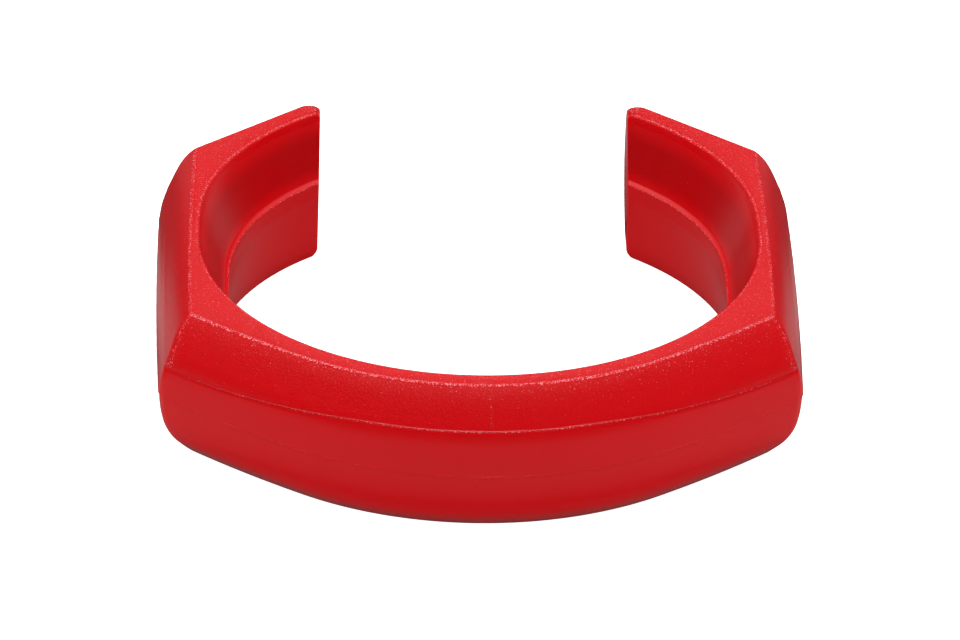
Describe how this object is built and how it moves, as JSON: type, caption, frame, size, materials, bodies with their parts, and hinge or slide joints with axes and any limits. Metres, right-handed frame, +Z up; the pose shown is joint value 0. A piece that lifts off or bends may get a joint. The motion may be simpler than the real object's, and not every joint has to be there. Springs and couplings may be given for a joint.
{
  "type": "ground glass joint clip",
  "caption": "C-shaped plastic snap clip with a stepped bore that holds two ground glass joint halves together by their flanges.",
  "frame": {"origin": "on the underside, at the centre of the round front half of the bore, which is within 0.25 mm of the middle of the outline", "axes": "+Z up along the bore, from the neck side to the flange side; +Y out through the mouth between the two arm tips; +X to the right as seen from the closed front"},
  "size_m": [0.0418, 0.0424, 0.0101],
  "materials": {
    "red_plastic": "moulded acetal, satin, with a fine spark-eroded texture on the top face and shoulder and a smoother band below"
  },
  "bodies": {
    "root": {"clip_body": "red_plastic"}
  },
  "joints": []
}
